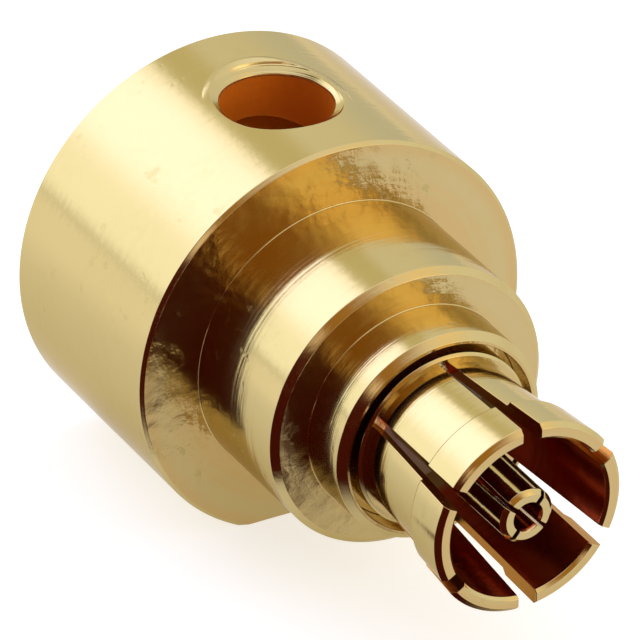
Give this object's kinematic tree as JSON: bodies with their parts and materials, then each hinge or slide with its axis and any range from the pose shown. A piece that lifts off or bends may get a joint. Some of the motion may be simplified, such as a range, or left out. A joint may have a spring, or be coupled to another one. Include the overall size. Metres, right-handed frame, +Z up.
{
  "type": "smpm connector",
  "caption": "Gold-plated right-angle sub-miniature coaxial connector: stepped body with a side cable bore, slotted snap sleeve and petal centre socket.",
  "frame": {"origin": "centre line of the cable bore, on the milled flat that the connector lies on", "axes": "+Z up through the cable bore, -Y along the connector's axis towards the mating end, +X to the right seen from the mating end"},
  "size_m": [0.0048, 0.0069, 0.0045],
  "materials": {
    "gold_plated_brass": "turned and gold plated, bright",
    "gold_plated_spring": "thin copper alloy, gold plated, bright",
    "white_dielectric": "turned fluoropolymer, satin"
  },
  "bodies": {
    "root": {"body": "gold_plated_brass", "outer_contact": "gold_plated_spring", "centre_contact": "gold_plated_spring", "insulator": "white_dielectric", "rear_cap": "gold_plated_brass"}
  },
  "joints": []
}
